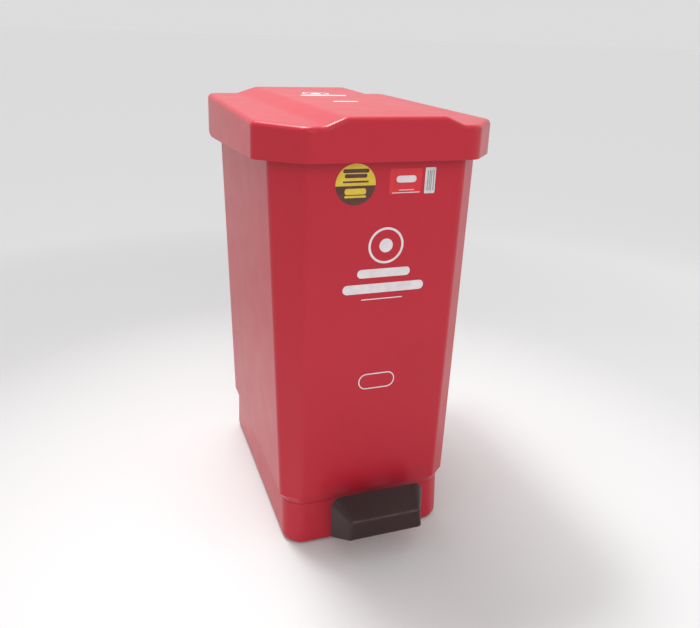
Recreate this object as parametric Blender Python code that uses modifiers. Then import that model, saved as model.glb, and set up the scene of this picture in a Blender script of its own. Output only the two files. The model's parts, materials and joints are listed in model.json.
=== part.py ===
"""Pedal bin for a hospital ward: a tapered plastic body on a recessed foot, a hinged lid, and a pedal
whose lever lifts a rod in the back of the body, which opens the lid.

Metres, +Z up, the front faces -Y. The origin is on the floor, under the middle of the whole outline.
"""

import math

import bmesh
import bpy
from mathutils import Matrix, Vector

# ---- outlines: half width in front and at the back, front y, back y, chamfer x, chamfer y,
# ---- rounding of the chamfer's corners, rounding of the back corners
LID_RING = (0.1450, 0.1404, -0.1786, 0.2082, 0.0455, 0.0570, 0.018, 0.017)
BODY_TOP_RING = (0.1282, 0.1282, -0.1617, 0.1859, 0.0350, 0.0420, 0.012, 0.016)
BODY_LOW_RING = (0.1135, 0.1135, -0.1529, 0.1768, 0.0225, 0.0175, 0.010, 0.016)
FOOT_TOP_RING = (0.1088, 0.1088, -0.1492, 0.1725, 0.0215, 0.0150, 0.009, 0.016)
FOOT_LOW_RING = (0.1093, 0.1093, -0.1531, 0.1737, 0.0205, 0.0170, 0.009, 0.016)

# ---- heights
FOOT_BOTTOM = 0.0015
SEAM = 0.0590
LEDGE_TOP = 0.0670
DECK_TOP = 0.0620
DECK_UNDER = 0.0575
FLOOR_UNDER = 0.0623
FLOOR_TOP = 0.0655
BODY_TOP = 0.5270
SKIRT_DEPTH = 0.4700
LID_WING = 0.5362
LID_PLATEAU = 0.5458

# ---- plastic
WALL = 0.0030
GAP = 0.0003
RIM_BEAD = 0.0020
ARC_STEPS = 3

# ---- lower edge of the lid's skirt, as (y, height): it falls towards the back and rises again behind
SKIRT_EDGE = (
    (-0.2500, 0.4985), (-0.1786, 0.4985), (0.1600, 0.4772), (0.1720, 0.4766), (0.1800, 0.4776),
    (0.1880, 0.4800), (0.1940, 0.4832), (0.2000, 0.4888), (0.2040, 0.4950), (0.2052, 0.4985),
    (0.2500, 0.4985),
)

# ---- raised middle of the lid: half widths of its top and of its foot
PLATEAU_FRONT_TOP = 0.0600
PLATEAU_FRONT_FOOT = 0.0796
PLATEAU_BACK_TOP = 0.0708
PLATEAU_BACK_FOOT = 0.0974

# ---- motion
LID_HALF_SWING = math.radians(35.0)
ROD_TRAVEL = 0.0300
PIVOT = Vector((0.0, -0.0450, 0.0300))
LEVER_REAR = 0.2100
REST_TILT = math.asin(ROD_TRAVEL / 2 / LEVER_REAR)
BACK_LEAN = (BODY_TOP_RING[3] - BODY_LOW_RING[3]) / (BODY_TOP - LEDGE_TOP)
HINGE_Z = 0.5030
ROD_LOW = Vector((0.0, PIVOT.y + LEVER_REAR * math.cos(REST_TILT), PIVOT.z - ROD_TRAVEL / 2))
ROD_HIGH_Z = HINGE_Z - ROD_TRAVEL / 2
ROD_HIGH = Vector((0.0, ROD_LOW.y + (ROD_HIGH_Z - ROD_LOW.z) * BACK_LEAN, ROD_HIGH_Z))
CRANK = ROD_TRAVEL / 2 / math.tan(LID_HALF_SWING)
HINGE = Vector((0.0, ROD_HIGH.y + CRANK, HINGE_Z))

# ---- mechanism
ROD_RADIUS = 0.0025
ROD_BEND = 0.0060
PIN_END = 0.0150
EYE_INNER = 0.0066
EYE_OUTER = 0.0114
CHANNEL_HALF = 0.0180
CHANNEL_DEPTH = 0.0260
CHANNEL_MOUTH = 0.2600
AXLE_RADIUS = 0.0040
AXLE_HALF = 0.0540
BARREL_HALF = 0.0300
BRACKET_INNER = 0.0350
BRACKET_OUTER = 0.0500
HINGE_PIN_RADIUS = 0.0030
HINGE_X = 0.0600
HINGE_BLOCK_HALF = 0.0120
KNUCKLE = 0.0060
HUB_RADIUS = 0.0065
HINGE_PLATE = 0.0045
LEVER_THICK = 0.0050
FLANGE = 0.0040

# ---- pedal pad, at rest
PAD_BACK = -0.1752
PAD_FRONT = -0.2082
PAD_X = 0.0035
PAD_BACK_HALF = 0.0620
PAD_FRONT_HALF = 0.0446
PAD_FRONT_FLARE = 0.0036
PAD_BACK_LOW = 0.0222
PAD_BACK_HIGH = 0.0815
PAD_FRONT_LOW = 0.0384
PAD_FRONT_HIGH = 0.0653

# ---- fasteners and feet
SCREW_RADIUS = 0.0021
HOLE_RADIUS = 0.0024
FOOT_PLACES = ((-0.084, -0.122), (0.084, -0.122), (-0.090, 0.146), (0.090, 0.146))
FOOT_SCREW_PLACES = ((-0.088, -0.060), (0.088, -0.060), (-0.088, 0.090), (0.088, 0.090))
BUMPER_PLACES = ((-0.1270, -0.085), (0.1270, -0.085), (-0.1270, 0.140), (0.1270, 0.140))
RING_LEDGE_PLACES = ((-0.118, -0.06), (0.118, -0.06), (-0.118, 0.11), (0.118, 0.11))
HINGE_SCREW_Z = 0.4860
HINGE_SCREW_OFFSET = 0.0070
PAD_SCREW_ALONG = -0.1460
PAD_SCREW_X = 0.0080
LUG_SCREW_X = 0.0150
LUG_SCREW_Y = 0.1860
LUG_TOP = 0.5365
LUG_FOOT = 0.0032

# ---- bag ring and guides
RING_Z = 0.5050
RING_FRONT = -0.1440
RING_BACK = 0.1450
RING_HALF = 0.1195
RING_CHAMFER_X = 0.0315
RING_CHAMFER_Y = 0.0360
RING_ROUND = 0.0200
GUIDE_HEIGHTS = (0.150, 0.390)
GUIDE_HALF_HEIGHT = 0.0070


# ------------------------------------------------------------------ scene helpers
def clear_scene():
    for item in list(bpy.data.objects):
        bpy.data.objects.remove(item, do_unlink=True)


def new_collection(name):
    made = bpy.data.collections.new(name)
    bpy.context.scene.collection.children.link(made)
    return made


def plastic(name, colour, roughness, metallic=0.0):
    made = bpy.data.materials.new(name)
    made.use_nodes = True
    shader = made.node_tree.nodes["Principled BSDF"]
    shader.inputs["Base Color"].default_value = (*colour, 1.0)
    shader.inputs["Roughness"].default_value = roughness
    shader.inputs["Metallic"].default_value = metallic
    return made


clear_scene()
PARTS = new_collection("pedal_bin")
CUTTERS = new_collection("cutters")
RED = plastic("red_plastic", (0.52, 0.035, 0.055), 0.30)
BLACK = plastic("black_plastic", (0.020, 0.020, 0.022), 0.45)
GREY = plastic("grey_plastic", (0.30, 0.30, 0.31), 0.50)
RUBBER = plastic("rubber", (0.030, 0.030, 0.030), 0.80)
STEEL = plastic("zinc_steel", (0.62, 0.62, 0.60), 0.35, 1.0)


def new_part(name, mesh, finish, smooth=None):
    mesh.materials.clear()
    mesh.materials.append(finish)
    if smooth is not None:
        mesh.shade_smooth()
        mesh.set_sharp_from_angle(angle=math.radians(smooth))
    made = bpy.data.objects.new(name, mesh)
    PARTS.objects.link(made)
    return made


def new_cutter(mesh):
    made = bpy.data.objects.new("cut_" + mesh.name, mesh)
    made.hide_render = True
    made.display_type = "WIRE"
    CUTTERS.objects.link(made)
    return made


def combine(target, operation, mesh):
    cutter = mesh if isinstance(mesh, bpy.types.Object) else new_cutter(mesh)
    step = target.modifiers.new(cutter.name, "BOOLEAN")
    step.operation = operation
    step.object = cutter
    step.solver = "EXACT"
    return cutter


def cut(target, mesh):
    return combine(target, "DIFFERENCE", mesh)


def join(target, mesh):
    return combine(target, "UNION", mesh)


def new_pivot(name, place):
    made = bpy.data.objects.new(name, None)
    made.location = place
    PARTS.objects.link(made)
    return made


def hang(item, pivot):
    item.parent = pivot
    item.matrix_parent_inverse = Matrix.Translation(-pivot.location)


# ------------------------------------------------------------------ mesh helpers
def mesh_from(name, shape):
    bmesh.ops.recalc_face_normals(shape, faces=shape.faces)
    mesh = bpy.data.meshes.new(name)
    shape.to_mesh(mesh)
    shape.free()
    return mesh


def box(name, low, high):
    low, high = Vector(low), Vector(high)
    size = high - low
    shape = bmesh.new()
    bmesh.ops.create_cube(shape, size=1.0, matrix=Matrix.Diagonal((*size, 1.0)))
    bmesh.ops.translate(shape, vec=(low + high) / 2, verts=shape.verts)
    return mesh_from(name, shape)


def rod_between(name, start, end, radius, sides=20):
    start, end = Vector(start), Vector(end)
    shape = bmesh.new()
    turn = Vector((0, 0, 1)).rotation_difference(end - start).to_matrix().to_4x4()
    bmesh.ops.create_cone(
        shape,
        cap_ends=True,
        segments=sides,
        radius1=radius,
        radius2=radius,
        depth=(end - start).length,
        matrix=Matrix.Translation((start + end) / 2) @ turn,
    )
    return mesh_from(name, shape)


def loft(name, rings):
    """A closed solid through rings that have the same number of points each."""
    shape = bmesh.new()
    rows = [[shape.verts.new(point) for point in ring] for ring in rings]
    count = len(rows[0])
    for lower, upper in zip(rows, rows[1:]):
        for index in range(count):
            ahead = (index + 1) % count
            shape.faces.new((lower[index], lower[ahead], upper[ahead], upper[index]))
    shape.faces.new(rows[0])
    shape.faces.new(rows[-1])
    return mesh_from(name, shape)


def inset(corners, distance):
    """A convex outline, counter-clockwise, with every side moved inwards."""
    moved = []
    count = len(corners)
    for index, corner in enumerate(corners):
        into = (Vector(corner) - Vector(corners[index - 1])).normalized()
        out = (Vector(corners[(index + 1) % count]) - Vector(corner)).normalized()
        side_in = Vector((-into.y, into.x))
        side_out = Vector((-out.y, out.x))
        moved.append(Vector(corner) + (side_in + side_out) * distance / (1 + side_in.dot(side_out)))
    return moved


def rounded(corners, radii, steps=ARC_STEPS):
    """The outline with each corner replaced by an arc."""
    points = []
    count = len(corners)
    for index in range(count):
        corner = Vector(corners[index])
        back = (Vector(corners[index - 1]) - corner).normalized()
        ahead = (Vector(corners[(index + 1) % count]) - corner).normalized()
        half = back.angle(ahead) / 2
        centre = corner + (back + ahead).normalized() * radii[index] / math.sin(half)
        start = corner + back * radii[index] / math.tan(half) - centre
        first = math.atan2(start.y, start.x)
        for step in range(steps + 1):
            angle = first + (math.pi - 2 * half) * step / steps
            points.append(centre + Vector((math.cos(angle), math.sin(angle))) * radii[index])
    return points


def ring(sizes, height, inwards=0.0):
    """One level of the bin's six-sided outline."""
    front_half, back_half, front, back, chamfer_x, chamfer_y, front_round, back_round = sizes
    corners = [
        (chamfer_x - front_half, front),
        (front_half - chamfer_x, front),
        (front_half, front + chamfer_y),
        (back_half, back),
        (-back_half, back),
        (-front_half, front + chamfer_y),
    ]
    radii = [front_round, front_round, front_round, back_round, back_round, front_round]
    radii = [max(radius - inwards, 0.001) for radius in radii]
    return [(x, y, height) for x, y in rounded(inset(corners, inwards), radii)]


def between(low, high, share):
    return tuple(a + (b - a) * share for a, b in zip(low, high))


def body_ring(height, inwards=0.0):
    share = (height - LEDGE_TOP) / (BODY_TOP - LEDGE_TOP)
    return ring(between(BODY_LOW_RING, BODY_TOP_RING, share), height, inwards)


def foot_ring(height, inwards=0.0):
    share = (height - FOOT_BOTTOM) / (SEAM - FOOT_BOTTOM)
    return ring(between(FOOT_LOW_RING, FOOT_TOP_RING, share), height, inwards)


def body_back(height):
    return BODY_LOW_RING[3] + (height - LEDGE_TOP) * BACK_LEAN


def channel(name, low, high, grow):
    """The leaning slot in the back that the lift rod runs in; grow widens it on three sides."""
    rings = []
    for height in (low, high):
        inner = body_back(height) - CHANNEL_DEPTH - grow
        half = CHANNEL_HALF + grow
        inner_edge = [(-half, inner, height), (half, inner, height)]
        rings.append(inner_edge + [(half, CHANNEL_MOUTH, height), (-half, CHANNEL_MOUTH, height)])
    return loft(name, rings)


def side_plate(name, outline, low_x, high_x):
    """An outline of (y, z) points, extruded along X."""
    return loft(name, [[(x, y, z) for y, z in outline] for x in (low_x, high_x)])


def add_turned(name, profile, finish, place, towards=(0, 0, 1), steps=20):
    """A turned solid from (radius, z) points that run down its outer side; z points towards."""
    shape = bmesh.new()
    points = [shape.verts.new((radius, 0.0, height)) for radius, height in profile]
    for first, second in zip(points, points[1:]):
        shape.edges.new((first, second))
    if profile[0][0] > 0:
        shape.edges.new((points[-1], points[0]))
    mesh = bpy.data.meshes.new(name)
    shape.to_mesh(mesh)
    shape.free()
    item = new_part(name, mesh, finish, smooth=40)
    screw = item.modifiers.new("turn", "SCREW")
    screw.steps = steps
    screw.render_steps = steps
    screw.use_merge_vertices = True
    screw.merge_threshold = 0.00001
    item.location = place
    item.rotation_mode = "QUATERNION"
    item.rotation_quaternion = Vector((0, 0, 1)).rotation_difference(Vector(towards))
    return item


def add_screw(name, place, towards, length):
    """A pan-head screw whose head's seat is at place and whose shank runs towards."""
    head = 0.0036
    profile = [(0.0, length), (SCREW_RADIUS, length - 0.0015), (SCREW_RADIUS, 0.0),
               (head, 0.0), (head * 0.8, -0.0020), (0.0, -0.0022)]
    return add_turned(name, profile, STEEL, place, towards, steps=10)


# ------------------------------------------------------------------ body and foot
def make_body():
    ledge = ring(FOOT_TOP_RING, SEAM + GAP)
    outer = [ledge, body_ring(LEDGE_TOP - 0.0015, 0.0008), body_ring(LEDGE_TOP + 0.0015)]
    outer += [body_ring(BODY_TOP - 0.0070), body_ring(BODY_TOP - 0.0055, -RIM_BEAD)]
    outer += [body_ring(BODY_TOP, -RIM_BEAD)]
    body = new_part("body_shell", loft("body_shell", outer), RED, smooth=35)
    inside = new_cutter(loft("inside", [body_ring(FLOOR_TOP, WALL), body_ring(BODY_TOP + 0.01, WALL)]))
    cut(inside, channel("channel_wall", FLOOR_TOP - 0.01, BODY_TOP + 0.02, WALL))
    cut(body, inside)
    recess = [ring(FOOT_TOP_RING, height, WALL) for height in (SEAM - 0.01, FLOOR_UNDER)]
    cut(body, loft("recess", recess))
    for index, (x, y) in enumerate(FOOT_SCREW_PLACES):
        join(body, rod_between(f"floor_boss_{index}", (x, y, FLOOR_UNDER), (x, y, 0.0780), 0.0065))
        cut(body, rod_between(f"floor_hole_{index}", (x, y, 0.05), (x, y, 0.0755), HOLE_RADIUS, 12))
    for index, x in enumerate(hinge_screw_columns()):
        y, z = body_back(HINGE_SCREW_Z), HINGE_SCREW_Z
        join(body, rod_between(f"hinge_boss_{index}", (x, y - 0.0115, z), (x, y - 0.001, z), 0.0055))
        cut(body, rod_between(f"hinge_hole_{index}", (x, y - 0.009, z), (x, y + 0.01, z), HOLE_RADIUS, 12))
    for index, (x, y) in enumerate(RING_LEDGE_PLACES):
        side = 1 if x > 0 else -1
        ledge_low = (min(side * 0.1150, side * 0.1265), y - 0.006, RING_Z - 0.0075)
        ledge_high = (max(side * 0.1150, side * 0.1265), y + 0.006, RING_Z - 0.0030)
        join(body, box(f"ring_ledge_{index}", ledge_low, ledge_high))
    cut(body, channel("channel", -0.01, BODY_TOP + 0.02, 0.0))
    return body


def hinge_screw_columns():
    offsets = (-HINGE_SCREW_OFFSET, HINGE_SCREW_OFFSET)
    return [side * (HINGE_X + offset) for side in (-1, 1) for offset in offsets]


def make_foot():
    outer = [foot_ring(FOOT_BOTTOM, 0.0032), foot_ring(0.0028, 0.0014), foot_ring(0.0052, 0.0004)]
    outer += [foot_ring(0.0095), foot_ring(SEAM)]
    foot = new_part("base_foot", loft("base_foot", outer), RED, smooth=35)
    deck = [ring(FOOT_TOP_RING, height, WALL + GAP) for height in (SEAM - 0.002, DECK_TOP)]
    join(foot, loft("deck", deck))
    hollow = [foot_ring(-0.01, 0.0080), foot_ring(0.0020, 0.0080), foot_ring(0.0100, WALL)]
    hollow += [foot_ring(DECK_UNDER, WALL)]
    cut(foot, loft("underside", hollow))
    for index, (x, y) in enumerate(FOOT_PLACES):
        join(foot, rod_between(f"post_{index}", (x, y, 0.0060), (x, y, DECK_UNDER + 0.001), 0.0110))
        cut(foot, rod_between(f"post_hole_{index}", (x, y, -0.01), (x, y, 0.0260), 0.0043, 12))
    for index, (x, y) in enumerate(FOOT_SCREW_PLACES):
        cut(foot, rod_between(f"deck_hole_{index}", (x, y, 0.05), (x, y, 0.08), HOLE_RADIUS, 12))
    for index, (x, y) in enumerate(bracket_screw_places()):
        cut(foot, rod_between(f"bracket_hole_{index}", (x, y, 0.05), (x, y, 0.0612), HOLE_RADIUS, 12))
    cut(foot, box("lever_window", (-0.0185, -0.20, 0.0140), (0.0185, -0.13, 0.0480)))
    cut(foot, channel("foot_channel", -0.02, 0.09, 0.0))
    return foot


def make_feet():
    profile = [(0.0, 0.0240), (0.0040, 0.0225), (0.0040, 0.0057), (0.0098, 0.0057),
               (0.0105, 0.0048), (0.0105, 0.0008), (0.0097, 0.0), (0.0, 0.0)]
    names = ("foot_front_left", "foot_front_right", "foot_back_left", "foot_back_right")
    for name, (x, y) in zip(names, FOOT_PLACES):
        add_turned(name, profile, RUBBER, (x, y, 0.0), steps=16)


def make_foot_screws():
    for index, (x, y) in enumerate(FOOT_SCREW_PLACES):
        add_screw(f"base_screw_{index + 1}", (x, y, DECK_UNDER - GAP), (0, 0, 1), 0.0165)


def make_bag_ring():
    """A wire loop on four small ledges, which holds the liner bag."""
    corner_x, corner_y = RING_HALF - RING_CHAMFER_X, RING_FRONT + RING_CHAMFER_Y
    corners = [(-corner_x, RING_FRONT), (corner_x, RING_FRONT), (RING_HALF, corner_y)]
    corners += [(RING_HALF, RING_BACK), (-RING_HALF, RING_BACK), (-RING_HALF, corner_y)]
    outline = rounded(corners, [RING_ROUND] * len(corners), 5)
    path = bpy.data.curves.new("bag_ring", "CURVE")
    path.dimensions = "3D"
    path.bevel_depth = ROD_RADIUS
    path.bevel_resolution = 2
    line = path.splines.new("POLY")
    line.points.add(len(outline) - 1)
    for point, (x, y) in zip(line.points, outline):
        point.co = (x, y, RING_Z, 1.0)
    line.use_cyclic_u = True
    path.materials.append(STEEL)
    ring_object = bpy.data.objects.new("bag_ring", path)
    PARTS.objects.link(ring_object)


# ------------------------------------------------------------------ pedal
def bracket_screw_places():
    middle = (BRACKET_INNER + BRACKET_OUTER) / 2
    return [(side * middle, PIVOT.y + along) for side in (-1, 1) for along in (-0.018, 0.018)]


def make_brackets():
    for side, name in ((-1, "axle_bracket_left"), (1, "axle_bracket_right")):
        low_x = min(side * BRACKET_INNER, side * BRACKET_OUTER)
        high_x = max(side * BRACKET_INNER, side * BRACKET_OUTER)
        y, z = PIVOT.y, PIVOT.z
        top = DECK_UNDER - GAP
        profile = [(0.0240, top), (0.0240, top - FLANGE), (0.0115, top - FLANGE)]
        profile += [(0.0085, z - 0.0040), (0.0050, z - 0.0085)]
        outline = [(y - reach, height) for reach, height in profile]
        outline += [(y + reach, height) for reach, height in reversed(profile)]
        bracket = new_part(name, side_plate(name, outline, low_x, high_x), GREY)
        ends = ((low_x - 0.01, y, z), (high_x + 0.01, y, z))
        cut(bracket, rod_between(name + "_bore", *ends, AXLE_RADIUS + GAP))
        for index, (x, place_y) in enumerate(bracket_screw_places()):
            if x * side > 0:
                ends = ((x, place_y, 0.04), (x, place_y, 0.08))
                cut(bracket, rod_between(f"{name}_hole_{index}", *ends, HOLE_RADIUS, 12))
    for index, (x, y) in enumerate(bracket_screw_places()):
        add_screw(f"bracket_screw_{index + 1}", (x, y, DECK_UNDER - FLANGE - 2 * GAP), (0, 0, 1), 0.0076)


def make_axle():
    end = AXLE_HALF
    profile = [(0.0, end), (AXLE_RADIUS - 0.0007, end), (AXLE_RADIUS, end - 0.0007),
               (AXLE_RADIUS, 0.0007 - end), (AXLE_RADIUS - 0.0007, -end), (0.0, -end)]
    add_turned("pedal_axle", profile, STEEL, PIVOT, (1, 0, 0))
    collar = [(0.0068, 0.0025), (0.0068, 0.0), (AXLE_RADIUS + GAP, 0.0), (AXLE_RADIUS + GAP, 0.0025)]
    for side, name in ((-1, "axle_clip_left"), (1, "axle_clip_right")):
        place = PIVOT + Vector((side * (BRACKET_OUTER + GAP), 0, 0))
        add_turned(name, collar, STEEL, place, (side, 0, 0))


def make_lever(pivot):
    """A flat bar with a cross barrel at the pivot and an upright eye at its rear end."""
    x, y, z = PIVOT
    tip = -0.1560
    low = (-0.0150, y + tip, z - LEVER_THICK / 2)
    high = (0.0150, y + LEVER_REAR - 0.013, z + LEVER_THICK / 2)
    lever = new_part("pedal_lever", box("pedal_lever", low, high), STEEL)
    join(lever, rod_between("barrel", (-BARREL_HALF, y, z), (BARREL_HALF, y, z), 0.0085))
    eye = [(y + LEVER_REAR + 0.007 * math.cos(a), z + 0.007 * math.sin(a))
           for a in [math.radians(-90 + 15 * step) for step in range(13)]]
    eye += [(y + LEVER_REAR - 0.022, z + 0.007), (y + LEVER_REAR - 0.030, z)]
    eye += [(y + LEVER_REAR - 0.022, z - 0.007)]
    join(lever, side_plate("lever_eye", eye, EYE_INNER, EYE_OUTER))
    cut(lever, rod_between("barrel_bore", (-0.04, y, z), (0.04, y, z), 0.0062))
    pin = (y + LEVER_REAR, z)
    cut(lever, rod_between("eye_bore", (0.0, *pin), (0.02, *pin), ROD_RADIUS + 0.0010, 16))
    for side in (-1, 1):
        place = (side * PAD_SCREW_X, y + PAD_SCREW_ALONG)
        cut(lever, rod_between(f"pad_hole{side}", (*place, z - 0.01), (*place, z + 0.01), HOLE_RADIUS, 12))
    tilt = Matrix.Translation(PIVOT) @ Matrix.Rotation(-REST_TILT, 4, "X") @ Matrix.Translation(-PIVOT)
    lever.matrix_world = tilt
    for cutter in [step.object for step in lever.modifiers]:
        cutter.matrix_world = tilt
    hang(lever, pivot)
    bush = [(0.0085, 0.0018), (0.0085, 0.0), (0.0059, 0.0), (0.0059, -0.0130),
            (AXLE_RADIUS + 0.0001, -0.0130), (AXLE_RADIUS + 0.0001, 0.0018)]
    for side, name in ((-1, "lever_bush_left"), (1, "lever_bush_right")):
        place = PIVOT + Vector((side * (BARREL_HALF + GAP), 0, 0))
        hang(add_turned(name, bush, GREY, place, (side, 0, 0)), pivot)


def on_lever(along, across):
    """The place at rest of a point given along and across the lever from its pivot."""
    cos, sin = math.cos(REST_TILT), math.sin(REST_TILT)
    return PIVOT.y + along * cos + across * sin, PIVOT.z - along * sin + across * cos


def pad_ring(y, low, high, half, flare, top_round, low_round):
    """One section of the pad; flare is how much wider it is at its lower edge."""
    wide = half + flare
    corners = [(-wide, low), (wide, low), (half, high), (-half, high)]
    return [(PAD_X + x, y, z) for x, z in rounded(corners, [low_round, low_round, top_round, top_round])]


def make_pad(pivot):
    """A hollow wedge: its top slopes down and its sides draw in towards the front."""
    rings = [pad_ring(PAD_BACK, PAD_BACK_LOW, PAD_BACK_HIGH, PAD_BACK_HALF, 0.0, 0.011, 0.003)]
    for step, pull in ((0.0035, 0.0), (0.0012, 0.0010), (0.0, 0.0032)):
        share = (PAD_FRONT + step - PAD_BACK) / (PAD_FRONT - PAD_BACK)
        low = PAD_BACK_LOW + (PAD_FRONT_LOW - PAD_BACK_LOW) * share + pull
        high = PAD_BACK_HIGH + (PAD_FRONT_HIGH - PAD_BACK_HIGH) * share - pull
        half = PAD_BACK_HALF + (PAD_FRONT_HALF - PAD_BACK_HALF) * share - pull
        rings.append(pad_ring(PAD_FRONT + step, low, high, half, PAD_FRONT_FLARE * share, 0.0045, 0.003))
    pad = new_part("pedal_pad", loft("pedal_pad", rings), BLACK, smooth=30)
    behind = (-0.02, PAD_BACK_HIGH + 0.002, PAD_BACK_HALF + 0.002, 0.0)
    ahead = (-0.02, PAD_FRONT_HIGH - 0.0018, PAD_FRONT_HALF - 0.0018, PAD_FRONT_FLARE)
    hollow = [pad_ring(PAD_BACK + 0.01, *behind, 0.0085, 0.003)]
    hollow += [pad_ring(PAD_FRONT + WALL, *ahead, 0.0025, 0.003)]
    cut(pad, loft("pad_hollow", hollow))
    seat = on_lever(PAD_SCREW_ALONG, LEVER_THICK / 2)
    boss = []
    for y in (seat[0] - 0.0080, seat[0] + 0.0080):
        share = (y - PAD_BACK) / (PAD_FRONT - PAD_BACK)
        boss.append((y, PAD_BACK_HIGH + (PAD_FRONT_HIGH - PAD_BACK_HIGH) * share - WALL / 2))
    outline = [(boss[0][0], seat[1] + 0.0012), (boss[1][0], seat[1] + 0.0012), boss[1], boss[0]]
    join(pad, side_plate("pad_boss", outline, -0.0160, 0.0160))
    square = Vector((0, math.sin(REST_TILT), math.cos(REST_TILT)))
    for side, word in ((-1, "left"), (1, "right")):
        start = Vector((side * PAD_SCREW_X, *on_lever(PAD_SCREW_ALONG, -LEVER_THICK / 2 - GAP)))
        cut(pad, rod_between(f"boss_hole_{word}", start, start + square * 0.0190, HOLE_RADIUS, 12))
        hang(add_screw(f"pad_screw_{word}", start, square, 0.0165), pivot)
    hang(pad, pivot)


# ------------------------------------------------------------------ lift rod
def make_rod():
    path = bpy.data.curves.new("lift_rod", "CURVE")
    path.dimensions = "3D"
    path.bevel_depth = ROD_RADIUS
    path.bevel_resolution = 4
    path.use_fill_caps = True
    up = (ROD_HIGH - ROD_LOW).normalized()
    across = Vector((1, 0, 0))
    points = [ROD_LOW + across * PIN_END]
    arc = [math.radians(15 * step) for step in range(7)]
    low_centre = ROD_LOW + (across + up) * ROD_BEND
    points += [low_centre - (across * math.sin(a) + up * math.cos(a)) * ROD_BEND for a in arc]
    high_centre = ROD_HIGH + (across - up) * ROD_BEND
    points += [high_centre + (up * math.sin(a) - across * math.cos(a)) * ROD_BEND for a in arc]
    points.append(ROD_HIGH + across * PIN_END)
    line = path.splines.new("POLY")
    line.points.add(len(points) - 1)
    for point, place in zip(line.points, points):
        point.co = (*place, 1.0)
    path.materials.append(STEEL)
    rod = bpy.data.objects.new("lift_rod", path)
    PARTS.objects.link(rod)
    cap = [(0.0, 0.0030), (0.0040, 0.0030), (0.0048, 0.0022), (0.0048, 0.0),
           (ROD_RADIUS + GAP, 0.0), (ROD_RADIUS + GAP, 0.0020), (0.0, 0.0020)]
    for name, place in (("rod_cap_lower", ROD_LOW), ("rod_cap_upper", ROD_HIGH)):
        add_turned(name, cap, BLACK, place + across * (PIN_END - 0.0017), (1, 0, 0))


def make_guides():
    """Two plastic guides that close the channel round the rod."""
    for name, height in zip(("rod_guide_lower", "rod_guide_upper"), GUIDE_HEIGHTS):
        rings = []
        for z in (height - GUIDE_HALF_HEIGHT, height + GUIDE_HALF_HEIGHT):
            inner = body_back(z) - CHANNEL_DEPTH + GAP
            outer = body_back(z) - 0.0015
            half = CHANNEL_HALF - GAP
            corners = ((-half, inner), (half, inner), (half, outer), (-half, outer))
            rings.append([(x, y, z) for x, y in corners])
        guide = new_part(name, loft(name, rings), GREY)
        up = (ROD_HIGH - ROD_LOW).normalized()
        middle = ROD_LOW + up * ((height - ROD_LOW.z) / up.z)
        ends = (middle - up * 0.03, middle + up * 0.03)
        cut(guide, rod_between(name + "_bore", *ends, ROD_RADIUS + 0.0005, 16))
        for side in (-1, 1):
            low = (side * 0.0110 - 0.0035, body_back(height) - 0.021, height - 0.02)
            high = (side * 0.0110 + 0.0035, body_back(height) - 0.006, height + 0.02)
            cut(guide, box(f"{name}_core{side}", low, high))


# ------------------------------------------------------------------ lid and hinge
def plateau(name, inwards, front, back):
    """The raised middle of the lid, wider at the back than in front."""
    rings = []
    for y, drop in ((front, 0.004), (front + 0.004, 0.0), (back - 0.004, 0.0), (back, 0.004)):
        share = (y - LID_RING[2]) / (LID_RING[3] - LID_RING[2])
        top = PLATEAU_FRONT_TOP + (PLATEAU_BACK_TOP - PLATEAU_FRONT_TOP) * share - inwards * 0.25
        base = PLATEAU_FRONT_FOOT + (PLATEAU_BACK_FOOT - PLATEAU_FRONT_FOOT) * share - inwards * 0.25
        wing, crown = LID_WING - inwards, LID_PLATEAU - inwards - drop
        keel = wing - 0.006
        corners = [(-base, keel), (base, keel), (base, wing), (top, crown), (-top, crown), (-base, wing)]
        radii = [0.001, 0.001, 0.002, 0.006, 0.006, 0.002]
        rings.append([(x, y, z) for x, z in rounded(corners, radii, 2)])
    return loft(name, rings)


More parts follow.
